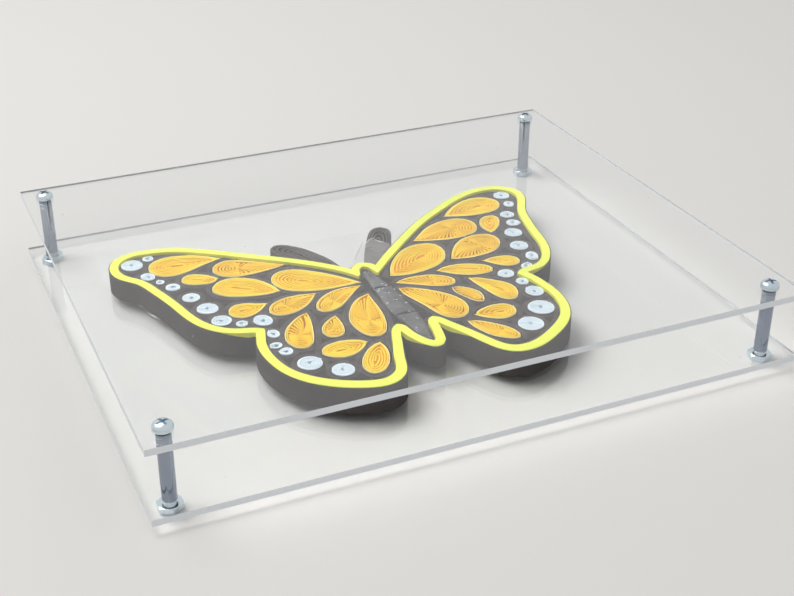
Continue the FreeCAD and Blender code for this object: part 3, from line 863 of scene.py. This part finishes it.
class BUTTERFLY_OT_hardware(bpy.types.Operator):
    """Screws with spacer tubes and nuts at the four corners"""
    bl_idname = "butterfly.hardware"
    bl_label = "Screws, tubes and nuts"

    def execute(self, context):
        mount = context.scene.butterfly_mount
        zinc = metal("Bright zinc", mount.zinc, tint(176, 192, 206), 0.22, 0.46, 900.0)
        bright = metal("Polished tube", tint(152, 160, 174), tint(104, 114, 130), 0.1, 0.34, 500.0)
        base_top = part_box("acrylic_bottom_sheet")[1].z
        sheet_low, sheet_high = heights("acrylic_top_sheet")
        sheaf = Sheaf()
        for low, high, corners in corner_boxes("foot_nuts"):
            middle = (low + high) / 2
            far = max(corners, key=lambda p: (p.xy - middle.xy).length)
            reach = far.xy - middle.xy
            hexagon_nut(sheaf, low, high, SHANK, reach.length * math.cos(math.pi / 6),
                        math.atan2(reach.y, reach.x))
        sheaf_piece("hexagon_nuts", sheaf, [zinc], ("foot_nuts",))
        sheaf = Sheaf()
        recess = Sheaf()
        recess_depth = 0.0018
        recess_width = 0.0011
        for seed, (low, high, _) in enumerate(corner_boxes("screws")):
            x, y = (low.x + high.x) / 2, (low.y + high.y) / 2
            wide = (high.x - low.x) / 2
            threaded(sheaf, x, y, SHANK, low.z, base_top, mount.pitch)
            threaded(sheaf, x, y, SHANK, sheet_low - 0.0002, sheet_high, mount.pitch)
            crown = high.z - sheet_high
            turned(sheaf, x, y, [(r * wide, sheet_high + h * crown) for r, h in PAN_HEAD], 40)
            middle = Vector((x, y))
            start = 0.35 + 0.5 * seed
            for turn in (start, start + math.pi / 2):
                way = Vector((math.cos(turn), math.sin(turn)))
                recess.strip([middle + way * reach for reach in (-0.0026, -0.001, 0.001, 0.0026)],
                             high.z - recess_depth, high.z + 0.001, recess_width)
        screws = sheaf_piece("zinc_screws", sheaf, [zinc], ("screws",))
        cutter = sheaf_piece("recess_cutter", recess, [zinc])
        self.cut_away(context, screws, cutter)
        repaint("spacer_tubes", bright)
        return {"FINISHED"}

    def cut_away(self, context, target, cutter):
        """Sink the cross recess into the heads and throw the cutter away."""
        modifier = target.modifiers.new("Recess", "BOOLEAN")
        modifier.operation = "DIFFERENCE"
        modifier.solver = "EXACT"
        modifier.use_self = True
        modifier.object = cutter
        context.view_layer.update()
        result = bpy.data.meshes.new_from_object(
            target.evaluated_get(context.evaluated_depsgraph_get()))
        target.modifiers.clear()
        target.data = result
        bpy.data.objects.remove(cutter)


def paired(inner, outer):
    """Match two closed lines point by point, with the least distance in all."""
    a = np.array([tuple(p) for p in inner])
    b = np.array([tuple(p) for p in outer])
    gap = ((b - a[0]) ** 2).sum(1)
    start = int(gap.argmin())
    b = np.roll(b, -start, axis=0)
    a = np.vstack([a, a[:1]])
    b = np.vstack([b, b[:1]])
    cost = ((a[:, None, :] - b[None, :, :]) ** 2).sum(2)
    rows, columns = cost.shape
    total = cost.tolist()
    total[0] = np.cumsum(cost[0]).tolist()
    for i in range(1, rows):
        above, here = total[i - 1], total[i]
        here[0] += above[0]
        for j in range(1, columns):
            here[j] += min(above[j], above[j - 1], here[j - 1])
    pairs = [(rows - 1, columns - 1)]
    i, j = pairs[0]
    while i or j:
        options = []
        if i and j:
            options.append((total[i - 1][j - 1], i - 1, j - 1))
        if i:
            options.append((total[i - 1][j], i - 1, j))
        if j:
            options.append((total[i][j - 1], i, j - 1))
        _, i, j = min(options)
        pairs.append((i, j))
    pairs.reverse()
    return [(Vector(a[i]), Vector(b[j])) for i, j in pairs[:-1]]


def ring_pairs(name):
    """Matched points on the inner and outer outline of a ring."""
    lines = sorted(top_lines(name), key=signed_area)
    inner = rounded(list(reversed(lines[0])), RIM_STEP)
    return paired(inner, rounded(lines[-1], RIM_STEP))


class BUTTERFLY_OT_rim(bpy.types.Operator):
    """Lime rim of strips on edge, with the black strip around it"""
    bl_idname = "butterfly.rim"
    bl_label = "Rim"

    def execute(self, context):
        settings = context.scene.butterfly_paper
        lime = paper("Lime strip edges", settings.lime, tint(226, 236, 78), 0.35, 1200.0, 0.25)
        # Painted shade: the rim's walls take a darker, deeper lime than its top
        side = paper("Lime strip side, painted shade", tint(236, 238, 70), tint(214, 216, 48), 0.4, 700.0, 0.2)
        low, high = heights("yellow_rim")
        pairs = ring_pairs("yellow_rim")
        count = settings.rim_strips
        profile = []
        for k in range(count):
            settle = 0.00004 * math.sin(k * 2.3)
            profile += [((k + 0.02) / count, -0.00016), ((k + 0.16) / count, settle),
                        ((k + 0.84) / count, settle), ((k + 0.98) / count, -0.00016)]
        sheaf = Sheaf()
        rows = [(0.0, None)] + profile + [(1.0, None)]
        for near, far in pairs:
            for share, drop in rows:
                point = near.lerp(far, share)
                height = low if drop is None else high + min(drop, 0.0)
                sheaf.corners.append((point.x, point.y, height))
        width = len(rows)
        for i in range(len(pairs)):
            a = i * width
            b = (i + 1) % len(pairs) * width
            for k in range(width):
                m = (k + 1) % width
                wall = k == 0 or k >= width - 2
                sheaf.face((a + k, a + m, b + m, b + k), 1 if wall else 0)
        sheaf_piece("lime_rim", sheaf, [lime, side], ("yellow_rim",))
        self.outer_strip()
        return {"FINISHED"}

    def outer_strip(self):
        """The black strip, which stands lower in the notches."""
        face = paper("Black strip side", tint(74, 69, 68), tint(96, 90, 89), 0.35, 500.0, 0.35)
        low, high = heights("black_outer_strip")
        deepest = 0.0024
        reach = 0.013
        sheaf = Sheaf()
        for near, far in ring_pairs("black_outer_strip"):
            gap = min((far - notch).length for notch in NOTCHES)
            drop = deepest * max(0.0, 1 - gap / reach)
            sheaf.corners += [(near.x, near.y, low), (near.x, near.y, high - drop),
                              (far.x, far.y, high - drop), (far.x, far.y, low)]
        count = len(sheaf.corners) // 4
        for i in range(count):
            sheaf.band(4 * i, 4 * ((i + 1) % count), 4)
        sheaf_piece("black_edge_strip", sheaf, [face], ("black_outer_strip",))


class BUTTERFLY_OT_coils(bpy.types.Operator):
    """Orange teardrop coils of the wings"""
    bl_idname = "butterfly.coils"
    bl_label = "Orange coils"

    def execute(self, context):
        settings = context.scene.butterfly_paper
        edge = paper("Orange strip edges", settings.orange, tint(254, 212, 40), 0.4, 1500.0, 0.3)
        # Painted shade for the floor between the turns, on each coil's core
        depth = paper("Orange, painted shade between turns", settings.amber_shade, tint(236, 160, 26), 0.5, 800.0, 0.2)
        # Painted highlight: a pale cream for the glint along each coil's outermost turn
        pale = paper("Painted highlight on outer turn", tint(255, 243, 172), tint(255, 234, 130), 0.4, 1500.0, 0.3)
        fold = paper("Orange folds", tint(254, 209, 44), tint(250, 192, 32), 0.5, 1300.0, 0.35)
        # Painted shade: a deep orange for the floor between the folds
        deep = paper("Orange, painted shade between folds", tint(206, 116, 16), tint(190, 100, 12), 0.5, 800.0, 0.2)
        for number, name in enumerate(QUILLS, start=1):
            wing, place = name.rsplit("_", 1)
            fan = FANNED[wing][int(place) - 1]
            colours = [fold, deep, pale] if fan >= FOLDED else [edge, depth, pale]
            teardrop_coil(name, colours, fan, settings, number)
        return {"FINISHED"}


class BUTTERFLY_OT_spots(bpy.types.Operator):
    """Tight white coils along the wing edges"""
    bl_idname = "butterfly.spots"
    bl_label = "White coils"

    def execute(self, context):
        settings = context.scene.butterfly_paper
        edge = paper("White strip edges", settings.white, tint(210, 226, 238), 0.35, 1500.0, 0.3)
        # Painted shade: a greyer white for the floor between the turns
        depth = paper("White, painted shade between turns", tint(208, 220, 230), tint(184, 198, 210), 0.4)
        eye = paper("Shade in the eye", tint(136, 148, 158), tint(112, 124, 136), 0.4)
        for name in SPOTS:
            low, high = heights(name)
            sheaf = Sheaf()
            for seed, line in enumerate(outer_lines(name)):
                self.tight_coil(sheaf, spot_outline(line, SPOT_CORNERS), low, high,
                                settings.tight_pitch, seed)
            sheaf_piece(name.replace("white_spots", "tight_coils"), sheaf, [edge, depth, eye],
                        (name,))
        return {"FINISHED"}

    def tight_coil(self, sheaf, outline, low, high, pitch, seed):
        """Turns wound close round a small open eye, and the strip's loose end outside."""
        middle = centre_of(outline)
        radius = sum((p - middle).length for p in outline) / len(outline)
        strip = pitch * 0.68
        eye = (0.0007 + 0.0003 * unevenness(seed * 1.3, radius * 900, 0)) / radius
        turns = max(1, round((1 - eye) * radius / pitch) - 1)
        outside, inside = 1 - strip / 2 / radius, eye + strip / 2 / radius
        count = len(outline)
        line, tops = [], []
        first = seed * 5
        for step in range((turns + 1) * count):
            inward = min(1, max(0, step - count * 0.9) / (turns * count))
            share = outside + (inside - outside) * inward
            sway = 0.00006 * unevenness(step * 0.21, seed, radius * 900)
            start = outline[(step + first) % count] - middle
            line.append(middle + start * (share + sway / radius))
            tops.append(high - 0.00012 * unevenness(step / count * 2.1, seed, 0) ** 2)
        way = (line[0] - line[1]).normalized()
        out = (line[0] - middle).normalized()
        tail = [line[0] + way * 0.0011 + out * 0.00055, line[0] + way * 0.0006 + out * 0.0002]
        sheaf.strip(tail + line, low, [high, high] + tops, [strip * 0.6] * 2 + [strip] * len(line),
                    wave=0.00016)
        core = [p.lerp(middle, 0.06) for p in outline]
        sheaf.slab(core, low + 0.0005, high - 0.0009, slot=1)
        well = [middle + (p - middle).normalized() * radius * eye for p in outline[::3]]
        sheaf.slab(well, high - 0.0012, high - 0.0006, slot=2)


class BUTTERFLY_OT_field(bpy.types.Operator):
    """Black strips that fill the wings and follow the coils"""
    bl_idname = "butterfly.field"
    bl_label = "Black strips"

    def execute(self, context):
        settings = context.scene.butterfly_paper
        bed = paper("Black strips below", tint(58, 54, 54), tint(72, 68, 67), 0.45, 1300.0, 0.4)
        repaint("black_filling", bed)
        thickness = 0.0005
        low, high = heights("black_filling")
        top = heights(QUILLS[0])[1]
        outlines = [coil_outline(name, 90) for name in QUILLS]
        for name in SPOTS:
            outlines += [spot_outline(line, 48) for line in outer_lines(name)]
        hole = min(top_lines("yellow_rim"), key=signed_area)
        rim = rounded(hole, 0.0011)
        self.guard = kdtree.KDTree(sum(len(line) for line in outlines) + len(rim))
        self.ways = []
        for owner, line in enumerate(outlines + [rim]):
            for point, way in zip(line, side_ways(line, True)):
                self.guard.insert((point.x, point.y, 0), len(self.ways))
                self.ways.append((owner, way))
        self.guard.balance()
        sheaf = Sheaf()
        for owner, line in enumerate(outlines + [rim]):
            for away, drop in ((0.0005, 0.0), (0.0014, 0.0001), (0.0023, 0.0002)):
                for run in self.free_runs(beside(line, away), owner, away):
                    sheaf.strip(run, high - 0.0004, top - drop, thickness, wave=0.0001)
        sheaf_piece("black_contour_strips", sheaf, [black_edges(settings)])
        return {"FINISHED"}

    def free_runs(self, line, owner, away):
        """Stretches of a line that cross neither a neighbour coil nor the rim."""
        free = []
        for point in line:
            near = self.guard.find_n((point.x, point.y, 0), 6)
            clear = True
            for place, index, distance in near:
                other, way = self.ways[index]
                side = (point - Vector(place[:2])).dot(way)
                if other != owner and (distance < 0.00034 or side < 0.0):
                    clear = False
                if other == owner and distance < away * 0.8:
                    clear = False
            free.append(clear)
        runs = []
        run = []
        for point, clear in zip(line + line[:1], free + free[:1]):
            if clear:
                run.append(point)
            else:
                if len(run) > 3:
                    runs.append(run)
                run = []
        if len(run) > 3:
            runs.append(run)
        return runs


class BUTTERFLY_OT_body(bpy.types.Operator):
    """Domed black rolls of thorax and abdomen"""
    bl_idname = "butterfly.body"
    bl_label = "Body"

    def execute(self, context):
        settings = context.scene.butterfly_paper
        skin = paper("Rolled black paper", tint(80, 80, 80), tint(128, 129, 130), 0.7, 520.0, 0.8,
                     smooth=0.42, gloss=0.4)
        glue = glue_and_glint()
        drops = Sheaf()
        for name in ("thorax", "abdomen_front", "abdomen_rear"):
            self.roll(name, skin, drops)
        sheaf_piece("glue_and_painted_glints_on_body", drops, [glue])
        return {"FINISHED"}

    def roll(self, name, skin, drops):
        """A roll with a rounded back; it swells behind its front seam and thins to the next."""
        low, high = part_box(name)
        points = [Vector((v.co.x, v.co.y)) for v in NODES[name].data.vertices]
        rows = 64
        columns = 30
        sheaf = Sheaf()
        for r in range(rows + 1):
            share = r / rows
            level = high.y + (low.y - high.y) * share
            for c in range(columns + 1):
                angle = math.pi * c / columns
                across = -math.cos(angle)
                # The seams bow towards the tail.
                y = level - 0.0016 * (1 - across ** 2) * (1 - share) * (0 if r == 0 else 1)
                y = max(low.y, min(high.y, y))
                left = self.edge(points, y, 1, low.x)
                right = self.edge(points, y, -1, high.x)
                half = (right - left) / 2
                swell = 1 - 0.06 * share - 0.15 * max(0.0, 1 - share / 0.035) ** 2
                swell -= 0.15 * max(0.0, 1 - (1 - share) / 0.03) ** 2
                if c in (0, columns):
                    sheaf.corners.append((left if c == 0 else right, level, low.z))
                    continue
                crown = (high.z - low.z) * (0.93 + 0.07 * min(1.0, half / 0.0048)) * swell
                crease = 0.00042 * unevenness(across * 2.3, y * 130, high.y * 900)
                wrap = 0.00016 * unevenness(across * 9, y * 900, high.y * 400)
                rings = 0.00012 * math.sin(y * 3600) * (1 if name == "abdomen_rear" else 0.35)
                rise = math.sin(angle) ** 0.75
                side = min(crown, 0.0097)
                height = low.z + side + (crown - side) * rise + (crease + wrap + rings) * rise
                x = (left + right) / 2 + half * across
                sheaf.corners.append((x, y, min(height, high.z)))
        width = columns + 1
        for r in range(rows):
            for c in range(columns):
                a = r * width + c
                sheaf.face((a, a + 1, a + 1 + width, a + width))
            sheaf.face((r * width, (r + 1) * width, (r + 2) * width - 1, (r + 1) * width - 1))
        sheaf.face(tuple(range(width - 1, -1, -1)))
        sheaf.face(tuple(range(rows * width, (rows + 1) * width)))
        obj = sheaf_piece(f"rolled_{name}", sheaf, [skin], (name,))
        for polygon in obj.data.polygons:
            polygon.use_smooth = len(polygon.vertices) == 4
        # Whitish drops of glue: partly real glue, partly painted glints on the body
        for k in range(40):
            spot = Vector((k * 0.77, high.y * 300, 5.0))
            r = round(rows * (0.5 + 0.49 * math.sin(k * 2.4 + spot.y)))
            c = round(columns * (0.5 + 0.36 * math.sin(k * 1.3)))
            x, y, z = sheaf.corners[r * width + c]
            if -0.031 < y < -0.009 or k % 9 == 0:
                smear(drops, Vector((x, y, z)), Vector((math.sin(k), math.cos(k * 1.9), 0)),
                      0.00025 + 0.0006 * abs(math.sin(k * 3.1)) ** 2, 0.0001)

    def edge(self, points, y, side, fallback):
        """Where the solid's left (1) or right (-1) side lies, from its two nearest corners."""
        middle = sum(p.x for p in points) / len(points)
        mine = [p for p in points if (p.x < middle) == (side == 1)]
        ahead = [p for p in mine if p.y >= y - 1e-6]
        behind = [p for p in mine if p.y <= y + 1e-6]
        if not ahead or not behind:
            return fallback
        a = min(ahead, key=lambda p: (round(p.y - y, 6), side * p.x))
        b = min(behind, key=lambda p: (round(y - p.y, 6), side * p.x))
        if a.y - b.y < 1e-6:
            return a.x
        return b.x + (a.x - b.x) * (y - b.y) / (a.y - b.y)


class BUTTERFLY_OT_antennae(bpy.types.Operator):
    """Two black teardrop coils in front of the head"""
    bl_idname = "butterfly.antennae"
    bl_label = "Antennae"

    def execute(self, context):
        settings = context.scene.butterfly_paper
        edge = black_edges(settings)
        # Painted shade: a darker black for the floor between the turns
        depth = paper("Black, painted shade between turns", tint(40, 38, 39), tint(54, 51, 52), 0.3)
        for seed, name in enumerate(("antenna_left", "antenna_right")):
            teardrop_coil(name, [edge, depth, edge], 0.25, settings, 40 + seed)
        self.glue()
        return {"FINISHED"}

    def glue(self):
        """A film of glue over the right antenna's stem, its grey a painted sheen, with whitish
        threads at its edge that also paint glints.
        """
        low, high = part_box("antenna_right")
        film = Sheaf()
        edge = [(0.0012, 0.0192), (0.0078, 0.0246), (0.0149, 0.0328), (0.0202, 0.0408),
                (0.0184, 0.0444), (0.0164, 0.0456), (0.0156, 0.0492), (0.013, 0.0502),
                (0.0104, 0.0478), (0.0086, 0.0452), (0.0038, 0.0356), (0.0004, 0.0264)]
        shape = evenly(rounded([Vector(corner) for corner in edge], 0.0008, fold=9.0), 60)
        film.slab(shape, high.z - 0.0002, high.z + 0.00012)
        sheaf_piece("glue_film_painted_sheen", film, [sheen_film()])
        glue = Sheaf()
        base = low.z + 0.0001
        stem = [Vector((-0.0005 + 0.0131 * t, 0.0401 + 0.0195 * t, base)) for t in TENTHS]
        thread_of_glue(glue, stem, 0.00028)
        across = [Vector((0.0079 + 0.0082 * t, 0.0452 + 0.0112 * t - 0.0052 * t * t, high.z + 0.0001))
                  for t in TENTHS]
        thread_of_glue(glue, across, 0.0003)
        bow = [Vector((0.0153 + 0.0033 * t, 0.0488 - 0.0044 * math.sin(1.6 * t), high.z + 0.0001))
               for t in TENTHS]
        thread_of_glue(glue, bow, 0.0003)
        sheaf_piece("glue_and_painted_glints_on_antenna", glue, [glue_and_glint()])


class BUTTERFLY_OT_traces(bpy.types.Operator):
    """Dried glue beside the left wing and dust on the sheets"""
    bl_idname = "butterfly.traces"
    bl_label = "Glue and dust"

    def execute(self, context):
        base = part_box("acrylic_bottom_sheet")[1]
        glue = Sheaf()
        for start, end, bend, radius in (((-0.1154, 0.0388), (-0.1081, 0.0195), 0.0008, 0.00026),
                                         ((-0.1128, 0.0302), (-0.1093, 0.0206), -0.0007, 0.00024),
                                         ((-0.1118, 0.0262), (-0.1102, 0.0226), 0.0003, 0.0003)):
            points = []
            for t in TENTHS:
                x = start[0] + (end[0] - start[0]) * t + bend * math.sin(math.pi * t)
                points.append(Vector((x, start[1] + (end[1] - start[1]) * t, base.z + 0.0001)))
            thread_of_glue(glue, points, radius)
        sheaf_piece("glue_on_sheet", glue, [glue_and_glint()])
        dust = Sheaf()
        top_high = heights("acrylic_top_sheet")[1]
        for k in range(70):
            x = (base.x - 0.008) * math.sin(k * 12.9898 + 1)
            y = (base.y - 0.008) * math.sin(k * 78.233)
            level = base.z if k % 2 and y < -0.097 else top_high
            grain = 0.00009 + 0.00016 * abs(math.sin(k * 4.1)) ** 3
            smear(dust, Vector((x, y, level + grain * 0.3)), Vector((math.cos(k), math.sin(k), 0)),
                  grain * 1.6, grain)
        sheaf_piece("dust_specks", dust, [glue_and_glint()])
        return {"FINISHED"}


class BUTTERFLY_OT_stage(bpy.types.Operator):
    """Pale floor, soft light and the camera"""
    bl_idname = "butterfly.stage"
    bl_label = "Stage"

    def execute(self, context):
        stage = context.scene.butterfly_stage
        self.floor(stage)
        self.light(context.scene, stage)
        self.camera(context.scene, stage)
        context.scene.view_settings.view_transform = "Standard"
        return {"FINISHED"}

    def floor(self, stage):
        mesh = bpy.data.meshes.new("floor")
        half = 4.0
        mesh.from_pydata([(-half, -half, 0), (half, -half, 0), (half, half, 0), (-half, half, 0)],
                         [], [(0, 1, 2, 3)])
        obj = in_scene("floor", mesh)
        material, tree, shader = new_material("Pale floor")
        feed(tree, shader, {"Base Color": stage.floor, "Roughness": 0.85})
        mesh.materials.append(material)

    def light(self, scene, stage):
        world = bpy.data.worlds.new("Soft studio")
        world.use_nodes = True
        feed(world.node_tree, world.node_tree.nodes["Background"],
             {"Color": (1.0, 1.0, 1.0, 1.0), "Strength": stage.sky})
        scene.world = world
        lamp = bpy.data.lights.new("Key", "AREA")
        lamp.shape = "RECTANGLE"
        lamp.size = 1.0
        lamp.size_y = 0.8
        lamp.energy = stage.key
        obj = in_scene("Key", lamp)
        obj.location = (-0.5, 0.5, 1.25)
        obj.rotation_euler = (-obj.location).to_track_quat("-Z", "Y").to_euler()

    def camera(self, scene, stage):
        """The photograph's view: from the front left, about 29 degrees down."""
        place = Vector((-0.23175, -0.53295, 0.32355))
        look = Vector((0.3579, 0.8012, -0.4796)).normalized()
        right = Vector((0.9137, -0.4063, 0.0031)).normalized()
        up = right.cross(look).normalized()
        right = look.cross(up)
        lens = bpy.data.cameras.new("Camera")
        lens.sensor_fit = "HORIZONTAL"
        lens.sensor_width = 36.0
        lens.lens = stage.lens
        lens.clip_start = 0.01
        camera = in_scene("Camera", lens)
        turn = Matrix((right, up, -look)).transposed().to_4x4()
        camera.matrix_world = Matrix.Translation(place) @ turn
        scene.camera = camera


class BUTTERFLY_PT_parts(bpy.types.Panel):
    """Buttons for each group of pieces"""
    bl_label = "Quilled butterfly"
    bl_idname = "BUTTERFLY_PT_parts"
    bl_space_type = "VIEW_3D"
    bl_region_type = "UI"
    bl_category = "Butterfly"

    def draw(self, context):
        for settings in ("butterfly_paper", "butterfly_mount", "butterfly_stage"):
            group = getattr(context.scene, settings)
            for key in group.__annotations__:
                self.layout.prop(group, key)
        for operator in OPERATORS:
            self.layout.operator(operator.bl_idname)


SETTINGS = {
    "butterfly_paper": PaperSettings,
    "butterfly_mount": MountSettings,
    "butterfly_stage": StageSettings,
}
OPERATORS = [
    BUTTERFLY_OT_sheets,
    BUTTERFLY_OT_hardware,
    BUTTERFLY_OT_rim,
    BUTTERFLY_OT_coils,
    BUTTERFLY_OT_spots,
    BUTTERFLY_OT_field,
    BUTTERFLY_OT_body,
    BUTTERFLY_OT_antennae,
    BUTTERFLY_OT_traces,
    BUTTERFLY_OT_stage,
]


def register():
    for name, group in SETTINGS.items():
        bpy.utils.register_class(group)
        setattr(bpy.types.Scene, name, bpy.props.PointerProperty(type=group))
    for part in OPERATORS + [BUTTERFLY_PT_parts]:
        bpy.utils.register_class(part)


def unregister():
    for part in reversed(OPERATORS + [BUTTERFLY_PT_parts]):
        bpy.utils.unregister_class(part)
    for name, group in SETTINGS.items():
        delattr(bpy.types.Scene, name)
        bpy.utils.unregister_class(group)


def main():
    register()
    bpy.ops.butterfly.sheets()
    bpy.ops.butterfly.hardware()
    bpy.ops.butterfly.rim()
    bpy.ops.butterfly.coils()
    bpy.ops.butterfly.spots()
    bpy.ops.butterfly.field()
    bpy.ops.butterfly.body()
    bpy.ops.butterfly.antennae()
    bpy.ops.butterfly.traces()
    bpy.ops.butterfly.stage()


if __name__ == "__main__":
    main()
